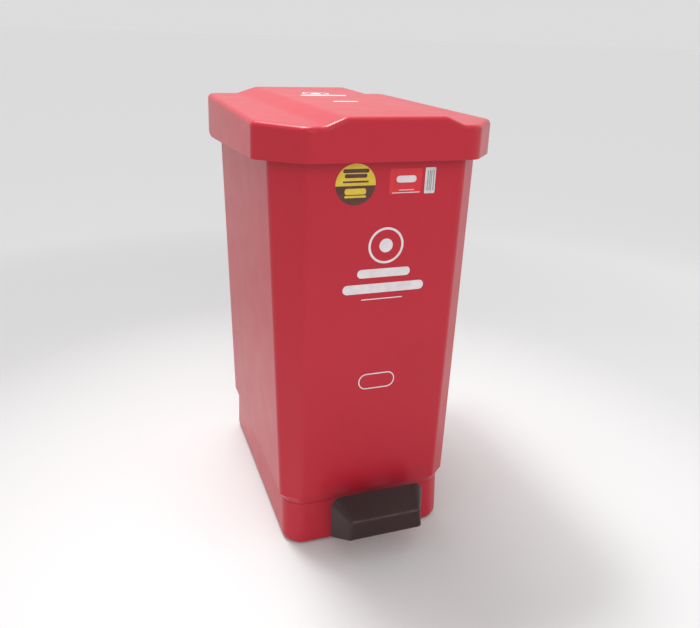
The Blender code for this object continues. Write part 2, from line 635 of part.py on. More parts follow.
def make_lid(pivot):
    levels = ((0.0065, 0.0), (0.0030, 0.0009), (0.0009, 0.0030), (0.0, 0.0065))
    skirt = [ring(LID_RING, SKIRT_DEPTH)]
    skirt += [ring(LID_RING, LID_WING - drop, inwards) for drop, inwards in levels]
    lid = new_part("lid_shell", loft("lid_shell", skirt), RED, smooth=35)
    join(lid, plateau("plateau", 0.0, LID_RING[2] + 0.0010, LID_RING[3] - 0.0010))
    inside = [ring(LID_RING, height, WALL) for height in (SKIRT_DEPTH - 0.01, LID_WING - WALL)]
    cut(lid, loft("lid_inside", inside))
    below = [(SKIRT_EDGE[-1][0], SKIRT_DEPTH - 0.02), (SKIRT_EDGE[0][0], SKIRT_DEPTH - 0.02)]
    cut(lid, side_plate("skirt_trim", [*SKIRT_EDGE, *below], -0.20, 0.20))
    cut(lid, plateau("plateau_inside", WALL, LID_RING[2] + WALL + 0.002, LID_RING[3] - WALL - 0.002))
    for side in (-1, 1):
        for offset in (-1, 1):
            middle = side * HINGE_X + offset * (HINGE_BLOCK_HALF + 0.0005 + KNUCKLE / 2)
            outline = [(HINGE.y + HUB_RADIUS * math.cos(a), HINGE.z + HUB_RADIUS * math.sin(a))
                       for a in [math.radians(180 + 15 * step) for step in range(13)]]
            outline += [(LID_RING[3] - 0.0015, HINGE.z + 0.008), (LID_RING[3] - 0.0015, LID_WING - 0.0015)]
            outline += [(HINGE.y - HUB_RADIUS, LID_WING - 0.0015)]
            faces = (middle - KNUCKLE / 2, middle + KNUCKLE / 2)
            join(lid, side_plate(f"knuckle{side}{offset}", outline, *faces))
        ends = ((side * 0.035, HINGE.y, HINGE.z), (side * 0.085, HINGE.y, HINGE.z))
        cut(lid, rod_between(f"knuckle_bore{side}", *ends, HINGE_PIN_RADIUS + 0.0001))
    for index, x in enumerate((-LUG_SCREW_X, LUG_SCREW_X)):
        y, under = LUG_SCREW_Y, LUG_TOP + GAP
        join(lid, rod_between(f"lug_boss_{index}", (x, y, under), (x, y, LID_PLATEAU - 0.002), 0.0055))
        cut(lid, rod_between(f"lug_hole_{index}", (x, y, under - 0.02), (x, y, 0.5415), HOLE_RADIUS, 12))
    for index, (x, y) in enumerate(BUMPER_PLACES):
        ends = ((x, y, 0.52), (x, y, LID_WING - 0.0012))
        cut(lid, rod_between(f"bumper_hole_{index}", *ends, 0.0023, 12))
    hang(lid, pivot)
    profile = [(0.0, 0.0075), (0.0020, 0.0075), (0.0020, 0.0055), (0.0055, 0.0055),
               (0.0055, 0.0006), (0.0049, 0.0), (0.0, 0.0)]
    names = ("front_left", "front_right", "back_left", "back_right")
    for word, (x, y) in zip(names, BUMPER_PLACES):
        bumper = add_turned(f"lid_bumper_{word}", profile, RUBBER, (x, y, BODY_TOP + GAP), steps=14)
        hang(bumper, pivot)


def make_lug(pivot):
    """The lid's crank: a foot plate under the lid and a slotted arm that the rod's pin rides in."""
    toward = Vector((0, -math.cos(LID_HALF_SWING), -math.sin(LID_HALF_SWING)))
    over = Vector((0, -math.sin(LID_HALF_SWING), math.cos(LID_HALF_SWING)))

    def at(along, aside):
        place = HINGE + toward * along + over * aside
        return place.y, place.z

    reach, half = 0.0310, 0.0067
    near, far = 0.0205, 0.0266
    outline = [at(0.0150, half), at(reach - 0.002, half), at(reach + 0.002, half - 0.003)]
    outline += [at(reach + 0.002, 0.003 - half), at(reach - 0.002, -half), at(0.0040, -half)]
    outline += [(HINGE.y + 0.0055, HINGE.z - 0.0020), (HINGE.y + 0.0055, LUG_TOP)]
    outline += [(HINGE.y - 0.0160, LUG_TOP)]
    lug = new_part("lift_lug", side_plate("lift_lug", outline, EYE_INNER, EYE_OUTER), STEEL)
    low = (-0.0220, HINGE.y - 0.0175, LUG_TOP - LUG_FOOT)
    join(lug, box("lug_foot", low, (0.0220, HINGE.y + 0.0060, LUG_TOP)))
    slot_half = ROD_RADIUS + 0.0012
    arc = [math.radians(-90 + 22.5 * step) for step in range(9)]
    slot = [at(far + slot_half * math.cos(a), slot_half * math.sin(a)) for a in arc]
    slot += [at(near - slot_half * math.cos(a), -slot_half * math.sin(a)) for a in arc]
    cut(lug, side_plate("lug_slot", slot, EYE_INNER - 0.002, EYE_OUTER + 0.002))
    for index, x in enumerate((-LUG_SCREW_X, LUG_SCREW_X)):
        ends = ((x, LUG_SCREW_Y, LUG_TOP - 0.02), (x, LUG_SCREW_Y, LUG_TOP + 0.02))
        cut(lug, rod_between(f"foot_hole_{index}", *ends, HOLE_RADIUS, 12))
        seat = (x, LUG_SCREW_Y, LUG_TOP - LUG_FOOT - GAP)
        hang(add_screw(f"lug_screw_{index + 1}", seat, (0, 0, 1), 0.0080), pivot)
    hang(lug, pivot)


def make_hinges():
    for side, name in ((-1, "left"), (1, "right")):
        low, high = side * HINGE_X - HINGE_BLOCK_HALF, side * HINGE_X + HINGE_BLOCK_HALF
        back = body_back(HINGE_Z)
        plate = [(body_back(0.4780) + GAP, 0.4780), (back + HINGE_PLATE, 0.4780)]
        plate += [(back + HINGE_PLATE, 0.5120), (body_back(0.5120) + GAP, 0.5120)]
        block = new_part(f"hinge_block_{name}", side_plate(f"hinge_block_{name}", plate, low, high), RED)
        y, z = HINGE.y, HINGE.z
        join(block, rod_between(f"block_barrel{side}", (low, y, z), (high, y, z), HUB_RADIUS))
        join(block, box(f"block_web{side}", (low, back + 0.002, z - 0.0045), (high, y, z + 0.0045)))
        ends = ((low - 0.01, y, z), (high + 0.01, y, z))
        cut(block, rod_between(f"block_bore{side}", *ends, HINGE_PIN_RADIUS + GAP))
        for offset in (-HINGE_SCREW_OFFSET, HINGE_SCREW_OFFSET):
            x = side * HINGE_X + offset
            ends = ((x, 0.15, HINGE_SCREW_Z), (x, 0.22, HINGE_SCREW_Z))
            cut(block, rod_between(f"block_hole{x:.3f}", *ends, HOLE_RADIUS, 12))
        half = 0.0215
        profile = [(0.0, half), (HINGE_PIN_RADIUS - 0.0005, half), (HINGE_PIN_RADIUS, half - 0.0005),
                   (HINGE_PIN_RADIUS, 0.0005 - half), (HINGE_PIN_RADIUS - 0.0005, -half), (0.0, -half)]
        add_turned(f"hinge_pin_{name}", profile, STEEL, (side * HINGE_X, HINGE.y, HINGE.z), (1, 0, 0))
    for index, x in enumerate(hinge_screw_columns()):
        place = (x, body_back(HINGE_Z) + HINGE_PLATE + GAP, HINGE_SCREW_Z)
        add_screw(f"hinge_screw_{index + 1}", place, (0, -1, 0), 0.0120)


def main():
    make_body()
    make_foot()
    make_feet()
    make_foot_screws()
    make_bag_ring()
    make_brackets()
    make_axle()
    pedal_pivot = new_pivot("pedal_pivot", PIVOT)
    make_lever(pedal_pivot)
    make_pad(pedal_pivot)
    make_rod()
    make_guides()
    make_hinges()
    lid_pivot = new_pivot("lid_pivot", HINGE)
    make_lid(lid_pivot)
    make_lug(lid_pivot)


main()
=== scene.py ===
"""Looks of the pedal bin: finer shells for the lid, body, foot and pedal, with their materials,
the marks on the front and the lid, and the stage.

Metres, +Z up, the front faces -Y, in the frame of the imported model.
"""

import json
import math

import bmesh
import bpy
from mathutils import Matrix, Vector


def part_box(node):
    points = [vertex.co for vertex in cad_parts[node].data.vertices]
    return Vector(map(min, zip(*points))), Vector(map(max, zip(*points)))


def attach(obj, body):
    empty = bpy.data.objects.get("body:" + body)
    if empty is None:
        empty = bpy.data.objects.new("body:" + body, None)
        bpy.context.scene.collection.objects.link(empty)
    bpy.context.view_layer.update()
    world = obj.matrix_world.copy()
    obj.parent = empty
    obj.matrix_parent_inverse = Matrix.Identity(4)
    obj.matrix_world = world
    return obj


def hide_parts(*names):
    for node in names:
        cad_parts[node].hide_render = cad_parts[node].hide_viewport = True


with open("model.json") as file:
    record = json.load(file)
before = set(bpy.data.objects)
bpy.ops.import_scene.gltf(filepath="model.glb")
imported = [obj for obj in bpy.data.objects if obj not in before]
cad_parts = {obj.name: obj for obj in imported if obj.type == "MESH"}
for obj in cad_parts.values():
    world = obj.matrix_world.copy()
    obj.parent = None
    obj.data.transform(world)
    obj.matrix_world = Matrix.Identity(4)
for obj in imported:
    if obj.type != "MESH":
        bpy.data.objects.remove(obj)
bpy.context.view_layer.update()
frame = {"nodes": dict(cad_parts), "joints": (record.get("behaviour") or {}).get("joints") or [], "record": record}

# ---- outlines: half width in front and at the back, front y, back y, chamfer x, chamfer y,
# ---- rounding of the chamfer's corners, rounding of the back corners
LID_RING = (0.1448, 0.1402, -0.1785, 0.2081, 0.0455, 0.0570, 0.018, 0.017)
BODY_TOP_RING = (0.1282, 0.1282, -0.1617, 0.1859, 0.0350, 0.0420, 0.014, 0.016)
BODY_LOW_RING = (0.1135, 0.1135, -0.1529, 0.1768, 0.0225, 0.0175, 0.010, 0.016)
FOOT_TOP_RING = (0.1088, 0.1088, -0.1492, 0.1725, 0.0195, 0.0150, 0.022, 0.016)
FOOT_LOW_RING = (0.1093, 0.1093, -0.1531, 0.1737, 0.0175, 0.0150, 0.022, 0.016)

# ---- heights and walls
FOOT_BOTTOM = 0.0015
SEAM = 0.0590
LEDGE_TOP = 0.0670
DECK_TOP = 0.0620
DECK_UNDER = 0.0575
FLOOR_UNDER = 0.0623
FLOOR_TOP = 0.0655
BODY_TOP = 0.5270
LID_WING = 0.5362
LID_PLATEAU = 0.5456
WALL = 0.0030
GAP = 0.0003
BEAD = 0.0020
BACK_LEAN = (BODY_TOP_RING[3] - BODY_LOW_RING[3]) / (BODY_TOP - LEDGE_TOP)
FRONT_LEAN = (BODY_TOP_RING[2] - BODY_LOW_RING[2]) / (BODY_TOP - LEDGE_TOP)
CHANNEL_HALF = 0.0180
CHANNEL_DEPTH = 0.0260

# ---- steps and least roundings of corners, angles below which faces shade smoothly, in degrees,
# ---- and how strongly large faces pull the shading of their edges
ARC_STEPS = 7
LEAST_ROUND = 0.0012
CHANNEL_ROUNDS = (0.0010, 0.0015, 0.0015, 0.0010)
SMOOTH_ANGLE = 38
MARK_SMOOTH_ANGLE = 25
FACE_WEIGHT = 60

# ---- body: roundings, the ledge as (share of its height, share of its width), levels of the wall,
# ---- and the outside of the rim bead as (depth under the rim, distance out of the wall)
SEAM_EASE = 0.0006
LEDGE_EASE = 0.0030
LEDGE_SLOPE = ((0.15, 0.10), (0.35, 0.27), (0.55, 0.45), (0.75, 0.66), (0.88, 0.84))
WALL_LEVELS = (0.12, 0.20, 0.28, 0.36, 0.44)
BEAD_START = 0.0075
BEAD_PROFILE = (
    (0.0070, 0.0003), (0.0063, 0.0012), (0.0055, 0.0018), (0.0047, BEAD), (0.0012, BEAD),
)
RIM_ROUND = 0.0012
RIM_STEPS = 5
RIM_NOTCH_OUT = 0.0004
RIM_NOTCH_IN = 0.0005
FLOOR_ROUND = 0.0060
FLOOR_NOTCH_ROUND = 0.0030

# ---- foot: its rounded bottom edge, the edge of its deck, its inside as (height, distance in),
# ---- the window for the pedal's lever, and the section of its four posts as (radius, height)
FOOT_EDGE_HEIGHT = 0.0075
FOOT_EDGE_DEPTH = 0.0038
FOOT_EDGE_STEPS = 6
FOOT_LEVELS = (0.045, 0.030, 0.018)
FOOT_LIP = 0.0072
FOOT_LIP_NOTCH = 0.0016
FOOT_INSIDE = ((FOOT_BOTTOM + 0.0006, 0.0080), (0.0100, 0.0034), (0.030, WALL), (DECK_UNDER, WALL))
DECK_EASE = 0.0005
SEAM_DROP = 0.0004
WINDOW_HALF = 0.0185
WINDOW_LOW = 0.0140
WINDOW_HIGH = 0.0480
WINDOW_ROUND = 0.003
WINDOW_STEPS = 5
WINDOW_REACH = (-0.20, -0.13)
POST_SECTION = (
    (0.0046, 0.0600), (0.0046, 0.0062), (0.0052, 0.0056), (0.0104, 0.0056), (0.0110, 0.0064),
    (0.0110, 0.0560), (0.0122, 0.0577),
)
POST_SIDES = 32

# ---- lid: the rounding of its six corners, and the lower edge of its skirt as (y, height)
LID_ROUNDS = (0.024, 0.024, 0.010, 0.017, 0.017, 0.010)
SKIRT_EDGE = (
    (-0.2500, 0.4985), (-0.1786, 0.4985), (0.1600, 0.4772), (0.1720, 0.4766), (0.1800, 0.4776),
    (0.1880, 0.4800), (0.1940, 0.4832), (0.2000, 0.4888), (0.2040, 0.4950), (0.2052, 0.4985),
    (0.2500, 0.4985),
)

# ---- raised middle of the lid
PLATEAU_X = 0.0015
PLATEAU_TOP = (0.0578, 0.0692)
PLATEAU_FOOT = (0.0808, 0.0974)
EDGE_ROUND = 0.0065
CREASE = 0.16
UNDERSIDE_SHIFT = 0.3
LID_LEAST_ROUND = 0.004

# ---- grid of the lid's top: steps in from its front, back and side edges, rows between, and
# ---- the columns on the plateau and round each bend of its slope
FRONT_STEPS = (
    0.0, 0.00015, 0.0005, 0.0010, 0.0016, 0.0023, 0.0032, 0.0043, 0.0055, 0.0067, 0.0085, 0.0110,
    0.0150, 0.0200, 0.0260, 0.0320, 0.0380, 0.0430, 0.0470, 0.0500, 0.0525, 0.0550, 0.0575, 0.0600,
    0.0630, 0.0680, 0.0760,
)
BACK_STEPS = (
    0.0, 0.00015, 0.0005, 0.0012, 0.0022, 0.0035, 0.0050, 0.0068, 0.0090, 0.0115, 0.0140, 0.0165,
    0.0200, 0.0260,
)
EDGE_STEPS = (0.0, 0.00025, 0.0008, 0.0016, 0.0027, 0.0040, 0.0055, 0.0075, 0.0100)
EDGE_STRETCH = 1.4
MIDDLE_ROWS = 22
PLATEAU_STEPS = (0.0, 0.45, 0.82)
BEND_STEPS = (-1.2, -0.7, -0.2, 0.2, 0.7, 1.2)
SLIDE_REACH = 0.0140
OUTLINE_STEPS = 12
TOUCHING = 1e-9

# ---- lid: skirt and its lip, hinge knuckles, and the bosses of the lug's screws
SKIRT_DROPS = (0.45, 1.0)
LIP_DROP = 0.0006
LIP_SHARES = (0.16, 0.84)
HINGE_X = 0.0600
KNUCKLE_OFFSET = 0.0155
KNUCKLE_RADIUS = 0.0065
KNUCKLE_HALF = 0.003
KNUCKLE_FOOT = 0.0015
KNUCKLE_RISE = 0.008
LUG_BOSS_X = 0.0150
LUG_BOSS_Y = 0.1860
LUG_BOSS_HEIGHTS = (0.5368, 0.5435)
LUG_BOSS_RADIUS = 0.0055
BOSS_SIDES = 28

# ---- pedal pad
PAD_BACK = -0.1752
PAD_FRONT = -0.2082
PAD_X = 0.0035
PAD_HALF = (0.0620, 0.0446)
PAD_FLARE = 0.0036
PAD_LOW = (0.0222, 0.0384)
PAD_HIGH = (0.0815, 0.0653)
PAD_TOP_ROUND = (0.0125, 0.0045)
PAD_LOW_ROUND = 0.0030
PAD_ARC_STEPS = 8
PAD_LEVELS = (0.25, 0.5, 0.75)
PAD_FACE_ROUND = 0.0034
PAD_FACE_STEPS = 6
PAD_BACK_EASE = 0.0006
BOSS_BOX = ((-0.0160, -0.1985, 0.0430), (0.0160, -0.1830, 0.0640))

# ---- hollow of the pad: its ends as (y, low, high, half width, flare, rounding of the top)
PAD_HOLLOW = (
    (PAD_BACK + 0.01, -0.02, PAD_HIGH[0] + 0.002, PAD_HALF[0] + 0.002, 0.0, 0.0095),
    (PAD_FRONT + WALL, -0.02, PAD_HIGH[1] - 0.0018, PAD_HALF[1] - 0.0018, PAD_FLARE, 0.0025),
)

# ---- creases of the pedal's top with a painted highlight, as (start, end, strength); x is from its middle, y is forwards
PAD_CREASES = (
    ((0.0, 0.2072, 0.0646), (0.0400, 0.2072, 0.0646), 1.0),
    ((0.0583, 0.1752, 0.0778), (0.0433, 0.2082, 0.0640), 0.5),
)
CREASE_HIGHLIGHT_REACH = (0.0003, 0.0019)

# ---- marks: how far they stand proud, their hidden depth, how far the edge is drawn in and from
# ---- which share of the height, and how many points their outlines have
MARK_PROUD = 0.00012
PRINT_PROUD = 0.00022
MARK_UNDER = -0.0004
MARK_EASE = 0.00010
MARK_EASE_START = 0.6
MARK_LEAST_ARM = 0.0005
PLATE_STEPS = 6
CIRCLE_STEPS = 64
DOT_STEPS = 40
STICKER_STEPS = 48

# ---- round sticker as (x, height, radius), the height of the line between its colours in radii,
# ---- its bars as (half width, half height, height over the middle, whether it is dark), and the
# ---- rounding of their ends in half heights
ROUND_STICKER = (-0.0380, 0.4718, 0.0232)
STICKER_SPLIT = -0.06
BAR_ROUND = 0.8
STICKER_BARS = (
    (0.0150, 0.0022, 0.0150, True), (0.0130, 0.0022, 0.0095, True), (0.0150, 0.0010, 0.0030, True),
    (0.0125, 0.0034, -0.0078, False), (0.0125, 0.0013, -0.0135, False),
)

# ---- rings as (x, height or y, radius, radius of the hole, radius of the dot), and the plates and
# ---- the rounded frame as (left, low, right, high, rounding)
FRONT_EMBLEM = (0.0024, 0.4000, 0.0215, 0.0188, 0.0082)
LID_EMBLEM = (-0.0080, 0.0920, 0.0190, 0.0162, 0.0070)
STRIPE = (0.0453, 0.4618, 0.0462, 0.4850, 0.0003)
STRIPE_OFFSETS = (0.0022, 0.0046, 0.0066, 0.0094)
TITLE_PLATES = (
    ("title_bar_1", (-0.0310, 0.3620, 0.0345, 0.3725, 0.0050)),
    ("title_bar_2", (-0.0480, 0.3430, 0.0530, 0.3545, 0.0055)),
    ("title_rule", (-0.0245, 0.3346, 0.0270, 0.3358, 0.0005)),
)
LOW_PILL = (-0.0225, 0.2165, 0.0245, 0.2375, 0.0100)
LOW_PILL_HOLE = (-0.0211, 0.2179, 0.0231, 0.2361, 0.0086)
LOW_PILL_STEPS = 10
LID_PLATES = (
    ("lid_bar_1", (-0.0375, 0.0580, 0.0270, 0.0695, 0.0045)),
    ("lid_bar_2", (-0.0185, -0.0210, 0.0145, -0.0130, 0.0035)),
)

# ---- stage: floor, surroundings, camera in pixels and radians, and the lamps as
# ---- (name, place, target, size, watts, angle of the beam in degrees)
FLOOR_HALF = 60.0
# ---- the floor's two tones are painted light: darker near the bin under the lamps, paler far off where only the
# surroundings light it
FLOOR_NEAR = (0.70, 0.70, 0.70)
FLOOR_FAR = (0.98, 0.98, 0.98)
FLOOR_BLEND = (0.7, 1.4)
WORLD_STRENGTH = 0.72
FRAME_SIZE = (700, 628)
FOCAL = 702.8107
YAW = 0.3468
PITCH = -0.3391
ROLL = 0.0367
PICTURE_CENTRE = (343.96, 279.22)
CAMERA_PLACE = (-0.3022, -0.8653, 0.6281)
SENSOR_WIDTH = 36.0
LAMPS = (
    ("overhead", (-0.25, 0.75, 2.0), (0.0, 0.0, 0.45), (1.2, 0.8), 4.4, 70),
    ("spark", (-0.35, 0.45, 2.1), (-0.10, -0.10, 0.53), (0.35, 0.25), 1.5, 50),
    ("key", (-0.35, -2.1, 1.4), (0.0, 0.0, 0.30), (1.2, 1.2), 3.3, 100),
    ("fill", (1.7, -1.0, 0.9), (0.0, 0.0, 0.25), (1.2, 1.2), 1.0, 120),
)

# ---- black plastic: its two tones, the paler tone of the highlight painted along the pedal's creases, roughness, texture and gloss
BLACK_DARK = (0.025, 0.0092, 0.0098)
BLACK_LIGHT = (0.036, 0.0130, 0.0137)
BLACK_PAINTED_HIGHLIGHT = (0.105, 0.085, 0.081)
BLACK_ROUGHNESS = (0.30, 0.44)
BLACK_BUMP = 0.00005
BLACK_GLOSS = 0.33

# ---- scales of the noise in moulded plastic
CLOUD_SCALE = 7.0
RIPPLE_SCALE = 24.0
GLOSS_SCALE = 26.0
GRAIN_SCALE = 900.0


# ------------------------------------------------------------------ materials
class Graph:
    """A small helper that adds nodes to a material and wires them."""

    def __init__(self, name, roughness, metallic=0.0):
        self.material = bpy.data.materials.new(name)
        self.material.use_nodes = True
        self.tree = self.material.node_tree
        self.shader = self.tree.nodes["Principled BSDF"]
        self.shader.inputs["Metallic"].default_value = metallic
        self.shader.inputs["Roughness"].default_value = roughness
        self.place = self.node("ShaderNodeTexCoord").outputs["Object"]

    def node(self, kind, **values):
        made = self.tree.nodes.new(kind)
        for key, value in values.items():
            if key in made.inputs.keys():
                made.inputs[key].default_value = value
            else:
                setattr(made, key, value)
        return made

    def link(self, source, target):
        self.tree.links.new(source, target)

    def noise(self, scale, detail=3.0, stretch=(1.0, 1.0, 1.0)):
        """Noise that is fixed to the piece."""
        mapping = self.node("ShaderNodeMapping", Scale=stretch)
        self.link(self.place, mapping.inputs["Vector"])
        made = self.node("ShaderNodeTexNoise", Scale=scale, Detail=detail)
        self.link(mapping.outputs["Vector"], made.inputs["Vector"])
        return made.outputs["Fac"]

    def ramp(self, source, stops):
        made = self.node("ShaderNodeValToRGB")
        ramp = made.color_ramp
        while len(ramp.elements) < len(stops):
            ramp.elements.new(0.5)
        for element, (position, colour) in zip(ramp.elements, stops):
            element.position = position
            element.color = (*colour, 1.0)
        self.link(source, made.inputs["Fac"])
        return made.outputs["Color"]

    def spread(self, source, low, high, at=(0.3, 0.7)):
        """A value from low to high while the source goes through a range."""
        made = self.node("ShaderNodeMapRange")
        made.inputs["From Min"].default_value = at[0]
        made.inputs["From Max"].default_value = at[1]
        made.inputs["To Min"].default_value = low
        made.inputs["To Max"].default_value = high
        self.link(source, made.inputs["Value"])
        return made.outputs["Result"]

    def bump(self, source, distance, strength=1.0, under=None):
        made = self.node("ShaderNodeBump", Strength=strength, Distance=distance)
        self.link(source, made.inputs["Height"])
        if under is not None:
            self.link(under, made.inputs["Normal"])
        return made.outputs["Normal"]

    def vector(self, operation, source, value=None):
        """A vector operation on a socket and, where it takes two, on a fixed vector."""
        made = self.node("ShaderNodeVectorMath", operation=operation)
        self.link(source, made.inputs[0])
        if value is not None:
            made.inputs[1].default_value = value
        return made.outputs["Value" if operation == "LENGTH" else "Vector"]

    def combine(self, operation, first, second):
        """Arithmetic on two sockets."""
        made = self.node("ShaderNodeMath", operation=operation)
        self.link(first, made.inputs[0])
        self.link(second, made.inputs[1])
        return made.outputs["Value"]


def moulded_surface(graph, roughness, bump, gloss, under=None):
    """Uneven gloss and a fine moulded texture, over a coarser normal where there is one."""
    sheen = graph.spread(graph.noise(GLOSS_SCALE, 5.0), *roughness)
    graph.link(sheen, graph.shader.inputs["Roughness"])
    fine = graph.bump(graph.noise(GRAIN_SCALE, 2.0), bump * 0.5, 0.4, under)
    graph.link(fine, graph.shader.inputs["Normal"])
    graph.shader.inputs["Specular IOR Level"].default_value = gloss


def moulded_plastic(name, dark, light, roughness, bump, gloss=0.5):
    """Injection-moulded plastic: faint cloudiness, and slight ripples under its fine texture."""
    graph = Graph(name, sum(roughness) / 2)
    cloud = graph.ramp(graph.noise(CLOUD_SCALE, 4.0), ((0.25, dark), (0.75, light)))
    graph.link(cloud, graph.shader.inputs["Base Color"])
    ripple = graph.bump(graph.noise(RIPPLE_SCALE, 1.0), bump * 2, 0.25)
    moulded_surface(graph, roughness, bump, gloss, ripple)
    return graph.material


def pedal_plastic():
    """Black plastic with a painted highlight: a paler tone along the creases that frame the top of the pedal."""
    graph = Graph("black_plastic_painted_highlight", sum(BLACK_ROUGHNESS) / 2)
    mirrored = graph.vector("ABSOLUTE", graph.vector("SUBTRACT", graph.place, (PAD_X, 0.0, 0.0)))
    near = []
    for start, end, strength in PAD_CREASES:
        along = (Vector(end) - Vector(start)).normalized()
        across = graph.vector("CROSS_PRODUCT", graph.vector("SUBTRACT", mirrored, start), along)
        near.append(graph.spread(graph.vector("LENGTH", across), strength, 0.0, CREASE_HIGHLIGHT_REACH))
    patchy = graph.spread(graph.noise(60.0, 4.0), 0.15, 0.50)
    # painted highlight along the creases, broken up by noise
    painted_highlight = graph.combine("MULTIPLY", graph.combine("MAXIMUM", *near), patchy)
    cloud = graph.spread(graph.noise(CLOUD_SCALE, 4.0), 0.0, 0.5, (0.0, 1.0))
    stops = ((0.125, BLACK_DARK), (0.375, BLACK_LIGHT), (0.90, BLACK_PAINTED_HIGHLIGHT))
    tone = graph.ramp(graph.combine("ADD", cloud, painted_highlight), stops)
    graph.link(tone, graph.shader.inputs["Base Color"])
    moulded_surface(graph, BLACK_ROUGHNESS, BLACK_BUMP, BLACK_GLOSS)
    return graph.material


def zinc_steel():
    graph = Graph("zinc_steel_brushed", 0.32, 1.0)
    streak = graph.noise(240.0, 4.0, (1.0, 1.0, 0.12))
    graph.link(graph.ramp(streak, ((0.3, (0.50, 0.50, 0.49)), (0.7, (0.68, 0.68, 0.66)))),
               graph.shader.inputs["Base Color"])
    graph.link(graph.spread(graph.noise(60.0), 0.24, 0.42), graph.shader.inputs["Roughness"])
    graph.link(graph.bump(streak, 0.00004, 0.5), graph.shader.inputs["Normal"])
    return graph.material


def rubber():
    graph = Graph("moulded_rubber", 0.8)
    speck = graph.noise(160.0, 5.0)
    graph.link(graph.ramp(speck, ((0.3, (0.016, 0.016, 0.016)), (0.7, (0.034, 0.034, 0.033)))),
               graph.shader.inputs["Base Color"])
    graph.link(graph.spread(speck, 0.70, 0.88), graph.shader.inputs["Roughness"])
    graph.link(graph.bump(speck, 0.00015, 0.5), graph.shader.inputs["Normal"])
    return graph.material


def paper(name, dark, light, roughness):
    """A glossy printed film or its ink: a faint mottle and an uneven gloss."""
    graph = Graph(name, sum(roughness) / 2)
    mottle = graph.noise(90.0, 4.0)
    graph.link(graph.ramp(mottle, ((0.3, dark), (0.7, light))), graph.shader.inputs["Base Color"])
    graph.link(graph.spread(graph.noise(30.0), *roughness), graph.shader.inputs["Roughness"])
    graph.link(graph.bump(mottle, 0.00003, 0.4), graph.shader.inputs["Normal"])
    return graph.material


RED = moulded_plastic("red_plastic_moulded", (0.455, 0.018, 0.034), (0.485, 0.020, 0.038),
                      (0.28, 0.32), 0.00001, 0.28)
BLACK = moulded_plastic("black_plastic_moulded", BLACK_DARK, BLACK_LIGHT,
                        BLACK_ROUGHNESS, BLACK_BUMP, BLACK_GLOSS)
PEDAL_BLACK = pedal_plastic()
GREY = moulded_plastic("grey_plastic_moulded", (0.24, 0.24, 0.25), (0.32, 0.32, 0.33),
                       (0.42, 0.58), 0.00004)
STEEL = zinc_steel()
RUBBER = rubber()
WHITE_INK = paper("white_ink", (0.66, 0.60, 0.62), (0.76, 0.71, 0.73), (0.35, 0.50))
WHITE_FILM = paper("white_film", (0.56, 0.54, 0.55), (0.68, 0.66, 0.67), (0.22, 0.36))
YELLOW_FILM = paper("yellow_film", (0.62, 0.43, 0.030), (0.74, 0.54, 0.05), (0.18, 0.30))
BROWN_FILM = paper("brown_film", (0.070, 0.020, 0.014), (0.110, 0.032, 0.022), (0.18, 0.30))
RED_FILM = paper("red_film", (0.600, 0.018, 0.030), (0.680, 0.026, 0.040), (0.16, 0.28))
GREY_INK = paper("grey_ink", (0.16, 0.16, 0.17), (0.24, 0.24, 0.25), (0.40, 0.60))


# ------------------------------------------------------------------ outlines
def moved_in(corners, distance):
    """A counter-clockwise outline with every side moved inwards."""
    moved = []
    count = len(corners)
    for index, corner in enumerate(corners):
        corner = Vector(corner)
        into = (corner - Vector(corners[index - 1])).normalized()
        out = (Vector(corners[(index + 1) % count]) - corner).normalized()
        side_in = Vector((-into.y, into.x))
        side_out = Vector((-out.y, out.x))
        moved.append(corner + (side_in + side_out) * distance / (1 + side_in.dot(side_out)))
    return moved


def rounded(corners, radii, steps):
    """Each corner, whichever way it turns, replaced by an arc."""
    points = []
    count = len(corners)
    for index in range(count):
        corner = Vector(corners[index])
        back = (Vector(corners[index - 1]) - corner).normalized()
        ahead = (Vector(corners[(index + 1) % count]) - corner).normalized()
        half = back.angle(ahead) / 2
        turn = 1.0 if back.x * ahead.y - back.y * ahead.x < 0 else -1.0
        centre = corner + (back + ahead).normalized() * radii[index] / math.sin(half)
        start = corner + back * radii[index] / math.tan(half) - centre
        first = math.atan2(start.y, start.x)
        for step in range(steps + 1):
            angle = first + turn * (math.pi - 2 * half) * step / steps
            points.append(centre + Vector((math.cos(angle), math.sin(angle))) * radii[index])
    return points


def six_corners(sizes):
    """The sharp corners of an outline, counter-clockwise from the left end of its front."""
    front_half, back_half, front, back, chamfer_x, chamfer_y = sizes[:6]
    right = [(front_half - chamfer_x, front), (front_half, front + chamfer_y), (back_half, back)]
    left = [(-back_half, back), (-front_half, front + chamfer_y)]
    return [(chamfer_x - front_half, front)] + right + left


def ring(sizes, height, inwards, notch):
    """One level of the six-sided outline; notch is how much larger the channel in its back is."""
    corners = moved_in(six_corners(sizes), inwards)
    front_round, back_round = sizes[6:]
    radii = [front_round] * 3 + [back_round] * 2 + [front_round]
    radii = [max(radius - inwards, LEAST_ROUND) for radius in radii]
    half = CHANNEL_HALF + notch
    inner = BODY_LOW_RING[3] + (height - LEDGE_TOP) * BACK_LEAN - CHANNEL_DEPTH - notch
    back = corners[3].y
    places = ((half, back), (half, inner), (-half, inner), (-half, back))
    corners[4:4] = [Vector(place) for place in places]
    radii[4:4] = CHANNEL_ROUNDS
    return [(x, y, height) for x, y in rounded(corners, radii, ARC_STEPS)]


def between(pair, share):
    """A share of the way from the first number of a pair to the second."""
    return pair[0] + (pair[1] - pair[0]) * share


def mixed(low, high, share):
    return tuple(between(pair, share) for pair in zip(low, high))


def body_ring(height, inwards, notch):
    share = (height - LEDGE_TOP) / (BODY_TOP - LEDGE_TOP)
    return ring(mixed(BODY_LOW_RING, BODY_TOP_RING, share), height, inwards, notch)


